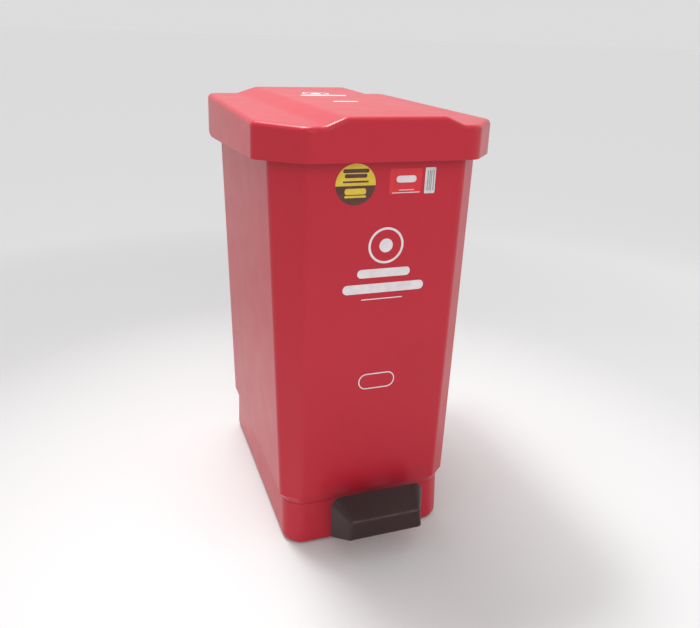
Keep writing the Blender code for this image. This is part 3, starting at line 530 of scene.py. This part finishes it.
def foot_ring(height, inwards, notch):
    share = (height - FOOT_BOTTOM) / (SEAM - FOOT_BOTTOM)
    return ring(mixed(FOOT_LOW_RING, FOOT_TOP_RING, share), height, inwards, notch)


def seam_ring(height, inwards=0.0):
    """The outline of the foot's top, where it meets the body."""
    return ring(FOOT_TOP_RING, height, inwards, 0.0)


# ------------------------------------------------------------------ mesh helpers
def finished(name, shape, finish, body, smooth=SMOOTH_ANGLE):
    """A new piece from a bmesh, riding on a body."""
    bmesh.ops.recalc_face_normals(shape, faces=shape.faces)
    mesh = bpy.data.meshes.new(name)
    shape.to_mesh(mesh)
    shape.free()
    mesh.shade_smooth()
    mesh.set_sharp_from_angle(angle=math.radians(smooth))
    mesh.materials.append(finish)
    made = bpy.data.objects.new(name, mesh)
    bpy.context.scene.collection.objects.link(made)
    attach(made, body)
    return made


def bridge(shape, lower, upper):
    """Faces between two closed rows of points."""
    for index in range(len(lower)):
        ahead = (index + 1) % len(lower)
        shape.faces.new((lower[index], lower[ahead], upper[ahead], upper[index]))


def skin(shape, rings):
    """A closed skin through rings that have the same number of points each."""
    rows = [[shape.verts.new(point) for point in points] for points in rings]
    for lower, upper in zip(rows, rows[1:]):
        bridge(shape, lower, upper)
    shape.faces.new(rows[0][::-1])
    shape.faces.new(rows[-1])


def subtract(target, cutter_shape):
    """Cuts a temporary solid out of a finished piece and applies the result."""
    mesh = bpy.data.meshes.new("cutter")
    bmesh.ops.recalc_face_normals(cutter_shape, faces=cutter_shape.faces)
    cutter_shape.to_mesh(mesh)
    cutter_shape.free()
    cutter = bpy.data.objects.new("cutter", mesh)
    bpy.context.scene.collection.objects.link(cutter)
    step = target.modifiers.new("cut", "BOOLEAN")
    step.operation = "DIFFERENCE"
    step.solver = "EXACT"
    step.object = cutter
    graph = bpy.context.evaluated_depsgraph_get()
    result = bpy.data.meshes.new_from_object(target.evaluated_get(graph))
    target.modifiers.clear()
    old = target.data
    target.data = result
    bpy.data.meshes.remove(old)
    bpy.data.objects.remove(cutter, do_unlink=True)
    bpy.data.meshes.remove(mesh)
    target.data.shade_smooth()
    target.data.set_sharp_from_angle(angle=math.radians(SMOOTH_ANGLE))


def cylinder(shape, start, end, radius):
    start, end = Vector(start), Vector(end)
    turn = Vector((0, 0, 1)).rotation_difference(end - start).to_matrix().to_4x4()
    place = Matrix.Translation((start + end) / 2) @ turn
    bmesh.ops.create_cone(shape, cap_ends=True, segments=BOSS_SIDES, radius1=radius,
                          radius2=radius, depth=(end - start).length, matrix=place)


def block(shape, low, high):
    low, high = Vector(low), Vector(high)
    made = bmesh.ops.create_cube(shape, size=1.0, matrix=Matrix.Diagonal((*(high - low), 1.0)))
    bmesh.ops.translate(shape, vec=(low + high) / 2, verts=made["verts"])


def quarter(count):
    """Points of a quarter turn: (distance gone in, height gone up), each from 0 to 1."""
    return [(1 - math.cos(math.pi / 2 * step / count), math.sin(math.pi / 2 * step / count))
            for step in range(count + 1)]


# ------------------------------------------------------------------ body
def make_body():
    """The shell, from the recess under its floor, round the ledge and the rim, to its floor."""
    seam = SEAM + GAP
    rings = [seam_ring(FLOOR_UNDER, WALL), seam_ring(seam, WALL), seam_ring(seam, SEAM_EASE)]
    rings.append(seam_ring(seam + SEAM_EASE / 2))
    low = seam_ring(seam + SEAM_EASE)
    high = body_ring(LEDGE_TOP + LEDGE_EASE, 0.0, 0.0)
    rings.append(low)
    for rise, out in LEDGE_SLOPE:
        height = between((low[0][2], high[0][2]), rise)
        rings.append([(*mixed(start[:2], end[:2], out), height) for start, end in zip(low, high)])
    rings.append(high)
    rings += [body_ring(height, 0.0, 0.0) for height in (*WALL_LEVELS, BODY_TOP - BEAD_START)]
    rings += [body_ring(BODY_TOP - depth, -out, 0.0) for depth, out in BEAD_PROFILE]
    for inwards, rise in quarter(RIM_STEPS)[1:]:
        level = BODY_TOP - RIM_ROUND + RIM_ROUND * rise
        rings.append(body_ring(level, -BEAD + inwards * RIM_ROUND, RIM_NOTCH_OUT * inwards))
    for inwards, rise in reversed(quarter(RIM_STEPS)[:-1]):
        level = BODY_TOP - RIM_ROUND + RIM_ROUND * rise
        rings.append(body_ring(level, WALL - inwards * RIM_ROUND, WALL - RIM_NOTCH_IN * inwards))
    rings += [body_ring(height, WALL, WALL) for height in reversed(WALL_LEVELS)]
    for inwards, rise in quarter(RIM_STEPS):
        level = FLOOR_TOP + FLOOR_ROUND * (1 - rise)
        depth, notch = WALL + FLOOR_ROUND * inwards, WALL + FLOOR_NOTCH_ROUND * inwards
        rings.append(body_ring(level, depth, notch))
    shape = bmesh.new()
    skin(shape, rings)
    body = finished("body", shape, RED, "bin")
    even_normals(body)
    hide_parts("body_shell")


def make_foot():
    """The foot: deck, outer wall with a rounded bottom edge, and the hollow behind it."""
    inside = WALL + GAP
    rings = [seam_ring(DECK_TOP, inside + DECK_EASE), seam_ring(DECK_TOP - DECK_EASE, inside)]
    rings += [seam_ring(SEAM, inside), seam_ring(SEAM, DECK_EASE), seam_ring(SEAM - SEAM_DROP)]
    rings += [foot_ring(height, 0.0, 0.0) for height in FOOT_LEVELS]
    for inwards, rise in quarter(FOOT_EDGE_STEPS):
        level = FOOT_BOTTOM + FOOT_EDGE_HEIGHT * (1 - rise)
        rings.append(foot_ring(level, FOOT_EDGE_DEPTH * inwards, 0.0))
    rings.append(foot_ring(FOOT_BOTTOM, FOOT_LIP, FOOT_LIP_NOTCH))
    rings += [foot_ring(height, inwards, WALL) for height, inwards in FOOT_INSIDE]
    shape = bmesh.new()
    skin(shape, rings)
    foot = finished("foot", shape, RED, "bin")
    window = bmesh.new()
    corners = [(-WINDOW_HALF, WINDOW_LOW), (WINDOW_HALF, WINDOW_LOW)]
    corners += [(WINDOW_HALF, WINDOW_HIGH), (-WINDOW_HALF, WINDOW_HIGH)]
    outline = rounded(corners, [WINDOW_ROUND] * 4, WINDOW_STEPS)
    skin(window, [[(x, y, z) for x, z in outline] for y in WINDOW_REACH])
    subtract(foot, window)
    posts = bmesh.new()
    for name in ("foot_front_left", "foot_front_right", "foot_back_left", "foot_back_right"):
        low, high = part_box(name)
        turned(posts, POST_SECTION, (low[0] + high[0]) / 2, (low[1] + high[1]) / 2)
    finished("foot_posts", posts, RED, "bin")
    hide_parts("base_foot")


def turned(shape, section, x, y):
    """An open turned skin round an upright axis, from (radius, height) points."""
    turns = [2 * math.pi * step / POST_SIDES for step in range(POST_SIDES)]
    rows = [[shape.verts.new((x + radius * math.cos(turn), y + radius * math.sin(turn), height))
             for turn in turns] for radius, height in section]
    for lower, upper in zip(rows, rows[1:]):
        bridge(shape, lower, upper)


# ------------------------------------------------------------------ lid
def soft_step(value):
    """0 below 0 and 1 above 1, straight between, with both bends rounded."""
    def bend(t):
        if t <= -CREASE:
            return 0.0
        if t >= CREASE:
            return t
        return (t + CREASE) ** 2 / (4 * CREASE)
    return bend(value) - bend(value - 1.0)


def plateau_at(y, inner=0.0):
    """Half widths of the raised middle at its top and at its foot."""
    share = (y - LID_RING[2]) / (LID_RING[3] - LID_RING[2])
    shift = inner * UNDERSIDE_SHIFT
    return between(PLATEAU_TOP, share) - shift, between(PLATEAU_FOOT, share) - shift


def crown(x, y, inner):
    """Height of the lid's top, or of its underside when inner is the wall's thickness."""
    top, foot = plateau_at(y, inner)
    rise = soft_step((foot - abs(x - PLATEAU_X)) / (foot - top))
    return LID_WING + (LID_PLATEAU - LID_WING) * rise - inner


def edge_drop(distance, radius):
    """How far a rounded edge has fallen at a distance inside the outline."""
    if distance >= radius:
        return 0.0
    reach = radius - max(distance, 0.0)
    return radius - math.sqrt(max(radius * radius - reach * reach, 0.0))


def lid_outline(inner):
    """The lid's outline: its right-hand half from the front to the back face, and the whole."""
    corners = moved_in(six_corners(LID_RING), inner)
    radii = [max(radius - inner, LID_LEAST_ROUND) for radius in LID_ROUNDS]
    points = rounded(corners, radii, OUTLINE_STEPS)
    corner = OUTLINE_STEPS + 1
    return [(point.x, point.y) for point in points[corner:4 * corner]], points


def skirt_edge(y):
    """Height of the skirt's lower edge."""
    for (y0, z0), (y1, z1) in zip(SKIRT_EDGE, SKIRT_EDGE[1:]):
        if y <= y1:
            return z0 + (z1 - z0) * (y - y0) / (y1 - y0)
    return SKIRT_EDGE[-1][1]


def half_width(line, y):
    """Half width of the lid at a depth, along the right-hand half of its outline."""
    for (x0, y0), (x1, y1) in zip(line, line[1:]):
        if y0 - TOUCHING <= y <= y1 + TOUCHING and y1 > y0:
            return x0 + (x1 - x0) * (y - y0) / (y1 - y0)
    return line[-1][0] if y > line[-1][1] else line[0][0]


def distance_to(points, x, y):
    """Distance from a place inside a closed outline to its nearest side."""
    place = Vector((x, y))
    best = 1.0
    for index, end in enumerate(points):
        start = points[index - 1]
        along = end - start
        share = max(0.0, min(1.0, (place - start).dot(along) / along.dot(along)))
        best = min(best, (place - start - along * share).length)
    return best


def lid_grid(inner, radius):
    """Rows of points over the lid, from front to back and from its left edge to its right edge."""
    line, points = lid_outline(inner)
    front, back = line[0][1], line[-1][1]
    room = back - front - FRONT_STEPS[-1] - BACK_STEPS[-1]
    levels = [front + step for step in FRONT_STEPS]
    levels += [front + FRONT_STEPS[-1] + room * k / MIDDLE_ROWS for k in range(1, MIDDLE_ROWS)]
    levels += [back - step for step in reversed(BACK_STEPS)]
    rows = []
    for y in levels:
        width = half_width(line, y)
        top, foot = plateau_at(y)
        bend = (foot - top) * CREASE
        across = [top * step for step in PLATEAU_STEPS]
        across += [top + bend * step for step in BEND_STEPS]
        across += [(top + foot) / 2]
        across += [foot + bend * step for step in BEND_STEPS]
        squeeze = min(1.0, (width - EDGE_STEPS[-1] * EDGE_STRETCH) / across[-1])
        across = [x * squeeze for x in across]
        across += [width - step * EDGE_STRETCH for step in reversed(EDGE_STEPS)]
        slide = [PLATEAU_X * min(1.0, (width - x) / SLIDE_REACH) for x in across]
        left = [move - x for x, move in zip(across, slide)]
        right = [move + x for x, move in zip(across, slide)]
        row = []
        for x in left[:0:-1] + right:
            on_edge = abs(abs(x) - width) < TOUCHING or y in (levels[0], levels[-1])
            distance = 0.0 if on_edge else distance_to(points, x, y)
            row.append((x, y, crown(x, y, inner) - edge_drop(distance, radius)))
        rows.append(row)
    return rows


def border(rows):
    """The points round the edge of a grid, counter-clockwise from its front left corner."""
    right = [row[-1] for row in rows[1:-1]]
    left = [row[0] for row in rows[1:-1]]
    return rows[0] + right + rows[-1][::-1] + left[::-1]


def make_lid():
    """The lid: its top and underside, the skirt round each, and the lip that joins the skirts."""
    shape = bmesh.new()
    ends = []
    for inner, radius in ((0.0, EDGE_ROUND), (WALL, EDGE_ROUND - WALL)):
        rows = lid_grid(inner, radius)
        verts = [[shape.verts.new(point) for point in row] for row in rows]
        for lower, upper in zip(verts, verts[1:]):
            for index in range(len(lower) - 1):
                shape.faces.new((lower[index], lower[index + 1], upper[index + 1], upper[index]))
        edge = border(verts)
        for drop in SKIRT_DROPS:
            lower = []
            for x, y, height in [vert.co for vert in edge]:
                level = between((height, skirt_edge(y) + LIP_DROP), drop)
                lower.append(shape.verts.new((x, y, level)))
            bridge(shape, edge, lower)
            edge = lower
        ends.append(edge)
    outer, inner = ends
    loops = [outer]
    for share in LIP_SHARES:
        places = [start.co.lerp(end.co, share) for start, end in zip(outer, inner)]
        loops.append([shape.verts.new((x, y, height - LIP_DROP)) for x, y, height in places])
    loops.append(inner)
    for low, high in zip(loops, loops[1:]):
        bridge(shape, low, high)
    lid = finished("lid", shape, RED, "lid")
    even_normals(lid)
    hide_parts("lid_shell")


def make_knuckles():
    """The lid's hinge knuckles, and the bosses for the screws of its lug."""
    joint = next(joint for joint in frame["joints"] if joint["name"] == "lid_hinge")
    hinge = Vector(joint["pos_m"])
    outline = []
    for turn in [math.radians(180 + 10 * step) for step in range(19)]:
        y, z = KNUCKLE_RADIUS * math.cos(turn), KNUCKLE_RADIUS * math.sin(turn)
        outline.append((hinge.y + y, hinge.z + z))
    back, low = LID_RING[3] - KNUCKLE_FOOT, LID_WING - KNUCKLE_FOOT
    outline += [(back, hinge.z + KNUCKLE_RISE), (back, low), (hinge.y - KNUCKLE_RADIUS, low)]
    shape = bmesh.new()
    for side in (-1, 1):
        for offset in (-1, 1):
            middle = side * HINGE_X + offset * KNUCKLE_OFFSET
            skin(shape, [[(x, y, z) for y, z in outline]
                         for x in (middle - KNUCKLE_HALF, middle + KNUCKLE_HALF)])
    low, high = LUG_BOSS_HEIGHTS
    for x in (-LUG_BOSS_X, LUG_BOSS_X):
        cylinder(shape, (x, LUG_BOSS_Y, low), (x, LUG_BOSS_Y, high), LUG_BOSS_RADIUS)
    finished("lid_knuckles", shape, RED, "lid")


def even_normals(item):
    """Flat faces keep their own shading beside rounded edges."""
    step = item.modifiers.new("normals", "WEIGHTED_NORMAL")
    step.keep_sharp = True
    step.weight = FACE_WEIGHT


# ------------------------------------------------------------------ pedal
def pad_section(y, low, high, half, flare, top_round):
    """One section of the pad; flare is how much wider it is at its lower edge."""
    wide = half + flare
    corners = [(-wide, low), (wide, low), (half, high), (-half, high)]
    radii = [PAD_LOW_ROUND] * 2 + [top_round] * 2
    return [(PAD_X + x, y, z) for x, z in rounded(corners, radii, PAD_ARC_STEPS)]


def pad_at(y, pull):
    """The pad's section at a depth, with its outline pulled in."""
    share = (y - PAD_BACK) / (PAD_FRONT - PAD_BACK)
    low = between(PAD_LOW, share) + pull
    high = between(PAD_HIGH, share) - pull
    half = between(PAD_HALF, share) - pull
    return pad_section(y, low, high, half, PAD_FLARE * share, between(PAD_TOP_ROUND, share))


def make_pad():
    """A hollow wedge with rounded edges: towards the front its top slopes down and it narrows."""
    rings = [pad_at(PAD_BACK, PAD_BACK_EASE), pad_at(PAD_BACK - PAD_BACK_EASE, 0.0)]
    rings += [pad_at(between((PAD_BACK, PAD_FRONT), share), 0.0) for share in PAD_LEVELS]
    for inwards, rise in quarter(PAD_FACE_STEPS):
        rings.append(pad_at(PAD_FRONT + PAD_FACE_ROUND * (1 - rise), PAD_FACE_ROUND * inwards))
    shape = bmesh.new()
    skin(shape, rings)
    pad = finished("pedal", shape, PEDAL_BLACK, "pedal")
    hollow = bmesh.new()
    skin(hollow, [pad_section(*sizes) for sizes in PAD_HOLLOW])
    subtract(pad, hollow)
    even_normals(pad)
    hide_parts("pedal_pad")
    boss = bmesh.new()
    block(boss, *BOSS_BOX)
    finished("pedal_boss", boss, BLACK, "pedal")


# ------------------------------------------------------------------ marks on the front and the lid
# ---- plates of the stickers as (name, plate, finish, how far it stands proud)
STICKER_PLATES = (
    ("red_sticker", (0.0020, 0.4592, 0.0410, 0.4880, 0.0015), RED_FILM, MARK_PROUD),
    ("red_sticker_pill", (0.0098, 0.4722, 0.0340, 0.4800, 0.0038), WHITE_INK, PRINT_PROUD),
    ("red_sticker_line_1", (0.0135, 0.4634, 0.0315, 0.4642, 0.0003), WHITE_INK, PRINT_PROUD),
    ("red_sticker_line_2", (0.0055, 0.4604, 0.0390, 0.4612, 0.0003), WHITE_INK, PRINT_PROUD),
    ("white_sticker", (0.0445, 0.4588, 0.0574, 0.4884, 0.0012), WHITE_FILM, MARK_PROUD),
)


def on_front(x, z, proud):
    """A point on the front face, at a height along it, standing proud of it."""
    square = Vector((0, -1, FRONT_LEAN)).normalized()
    return Vector((x, BODY_LOW_RING[2] + (z - LEDGE_TOP) * FRONT_LEAN, z)) + square * proud


def on_lid(x, y, proud):
    """A point over the raised middle of the lid, standing proud of it."""
    return Vector((x, y, LID_PLATEAU + proud))


def drawn_in(outline):
    """An outline with its points moved a little towards their middle."""
    count = len(outline)
    middle = Vector((sum(u for u, v in outline) / count, sum(v for u, v in outline) / count))
    arms = [Vector(point) - middle for point in outline]
    return [middle + arm * (1 - MARK_EASE / max(arm.length, MARK_LEAST_ARM)) for arm in arms]


def flat_mark(name, outline, finish, body, place, proud, hole):
    """A thin plate with a soft edge, or a frame round a hole; place gives a point of the bin."""
    shape = bmesh.new()
    if hole is None:
        edge = proud * MARK_EASE_START
        levels = ((outline, MARK_UNDER), (outline, edge), (drawn_in(outline), proud))
        skin(shape, [[place(u, v, depth) for u, v in points] for points, depth in levels])
    else:
        levels = ((hole, MARK_UNDER), (hole, proud), (outline, proud), (outline, MARK_UNDER))
        rows = [[shape.verts.new(place(u, v, depth)) for u, v in points]
                for points, depth in levels]
        for lower, upper in zip(rows, rows[1:] + rows[:1]):
            bridge(shape, lower, upper)
    finished(name, shape, finish, body, smooth=MARK_SMOOTH_ANGLE)


def front_mark(name, outline, finish=WHITE_INK, proud=MARK_PROUD, hole=None):
    flat_mark(name, outline, finish, "bin", on_front, proud, hole)


def lid_mark(name, outline, hole=None):
    flat_mark(name, outline, WHITE_INK, "lid", on_lid, MARK_PROUD, hole)


def arc(u, v, radius, count, start, end):
    """Points of an arc, with both its ends."""
    return [(u + radius * math.cos(start + (end - start) * k / count),
             v + radius * math.sin(start + (end - start) * k / count)) for k in range(count + 1)]


def circle(u, v, radius, count=CIRCLE_STEPS):
    """A whole turn without its last point, which would be the first one again."""
    return arc(u, v, radius, count, 0.0, 2 * math.pi)[:-1]


def plate(u0, v0, u1, v1, radius, steps=PLATE_STEPS):
    """A rectangle with rounded corners."""
    corners = [(u0, v0), (u1, v0), (u1, v1), (u0, v1)]
    return [tuple(point) for point in rounded(corners, [radius] * 4, steps)]


def make_emblem(make_mark, names, sizes):
    """A ring and the dot in it."""
    u, v, outer, inner, dot = sizes
    make_mark(names[0], circle(u, v, outer), hole=circle(u, v, inner))
    make_mark(names[1], circle(u, v, dot, DOT_STEPS))


def make_front_marks():
    """Generic stand-ins for the stickers and prints: plain discs, bars and plates without text."""
    u, v, radius = ROUND_STICKER
    split = math.asin(STICKER_SPLIT)
    turns = (split, math.pi - split, 2 * math.pi + split)
    front_mark("round_sticker_top", arc(u, v, radius, STICKER_STEPS, *turns[:2]), YELLOW_FILM)
    front_mark("round_sticker_low", arc(u, v, radius, STICKER_STEPS, *turns[1:]), BROWN_FILM)
    for index, (half, tall, rise, dark) in enumerate(STICKER_BARS):
        bar = plate(u - half, v + rise - tall, u + half, v + rise + tall, tall * BAR_ROUND)
        finish = BROWN_FILM if dark else YELLOW_FILM
        front_mark(f"round_sticker_bar_{index + 1}", bar, finish, PRINT_PROUD)
    for name, sizes, finish, proud in STICKER_PLATES:
        front_mark(name, plate(*sizes), finish, proud)
    left, low, right, high, radius = STRIPE
    for index, offset in enumerate(STRIPE_OFFSETS):
        stripe = plate(left + offset, low, right + offset, high, radius)
        front_mark(f"white_sticker_stripe_{index + 1}", stripe, GREY_INK, PRINT_PROUD)
    make_emblem(front_mark, ("emblem_ring", "emblem_dot"), FRONT_EMBLEM)
    for name, sizes in TITLE_PLATES:
        front_mark(name, plate(*sizes))
    pill, hole = [plate(*sizes, LOW_PILL_STEPS) for sizes in (LOW_PILL, LOW_PILL_HOLE)]
    front_mark("low_pill", pill, hole=hole)


def make_lid_marks():
    make_emblem(lid_mark, ("lid_emblem", "lid_emblem_dot"), LID_EMBLEM)
    for name, sizes in LID_PLATES:
        lid_mark(name, plate(*sizes))


# ------------------------------------------------------------------ stage
def make_stage():
    """A pale floor with painted light: darker near the bin, where the lamps light it, and paler far off, where
    they miss it, so that it blends into plain white surroundings.
    """
    shape = bmesh.new()
    bmesh.ops.create_grid(shape, x_segments=2, y_segments=2, size=FLOOR_HALF)
    mesh = bpy.data.meshes.new("floor")
    shape.to_mesh(mesh)
    shape.free()
    graph = Graph("pale_floor", 0.9)
    far = graph.spread(graph.vector("LENGTH", graph.place), 0.0, 1.0, FLOOR_BLEND)
    pale = graph.ramp(far, ((0.0, FLOOR_NEAR), (1.0, FLOOR_FAR)))
    graph.link(pale, graph.shader.inputs["Base Color"])
    mesh.materials.append(graph.material)
    floor = bpy.data.objects.new("floor", mesh)
    bpy.context.scene.collection.objects.link(floor)
    world = bpy.data.worlds.new("studio")
    world.use_nodes = True
    background = world.node_tree.nodes["Background"]
    background.inputs["Color"].default_value = (1.0, 1.0, 1.0, 1.0)
    background.inputs["Strength"].default_value = WORLD_STRENGTH
    bpy.context.scene.world = world
    bpy.context.scene.view_settings.view_transform = "Standard"


def area_light(name, place, target, size, power, spread):
    """A soft rectangular lamp aimed at a point; spread is the angle of its beam in degrees."""
    data = bpy.data.lights.new(name, "AREA")
    data.shape = "RECTANGLE"
    data.size, data.size_y = size
    data.energy = power
    data.spread = math.radians(spread)
    lamp = bpy.data.objects.new(name, data)
    lamp.location = place
    lamp.rotation_euler = (Vector(target) - Vector(place)).to_track_quat("-Z", "Y").to_euler()
    bpy.context.scene.collection.objects.link(lamp)


def make_camera():
    """A camera from its centre, its turns and a focal length in pixels."""
    width, height = FRAME_SIZE
    level = math.cos(PITCH)
    forward = Vector((math.sin(YAW) * level, math.cos(YAW) * level, math.sin(PITCH)))
    right = Vector((math.cos(YAW), -math.sin(YAW), 0))
    up = right.cross(forward)
    side = math.cos(ROLL) * right + math.sin(ROLL) * up
    over = -math.sin(ROLL) * right + math.cos(ROLL) * up
    data = bpy.data.cameras.new("camera")
    data.sensor_fit = "HORIZONTAL"
    data.sensor_width = SENSOR_WIDTH
    data.lens = FOCAL * data.sensor_width / width
    data.shift_x = (width / 2 - PICTURE_CENTRE[0]) / width
    data.shift_y = (PICTURE_CENTRE[1] - height / 2) / width
    camera = bpy.data.objects.new("camera", data)
    turn = Matrix((side, over, -forward)).transposed().to_4x4()
    turn.translation = Vector(CAMERA_PLACE)
    camera.matrix_world = turn
    bpy.context.scene.collection.objects.link(camera)
    bpy.context.scene.camera = camera


def repaint():
    """CAD nodes that stay get their detailed materials."""
    finishes = {"red_plastic": RED, "black_plastic": BLACK, "grey_plastic": GREY, "rubber": RUBBER,
                "zinc_steel": STEEL}
    for part in frame["record"]["subparts"]:
        for material_slot in frame["nodes"][part["node"]].material_slots:
            material_slot.link = "OBJECT"
            material_slot.material = finishes[part["material_slot"]]


make_camera()
repaint()
make_body()
make_foot()
make_lid()
make_knuckles()
make_pad()
make_front_marks()
make_lid_marks()
make_stage()
for lamp in LAMPS:
    area_light(*lamp)
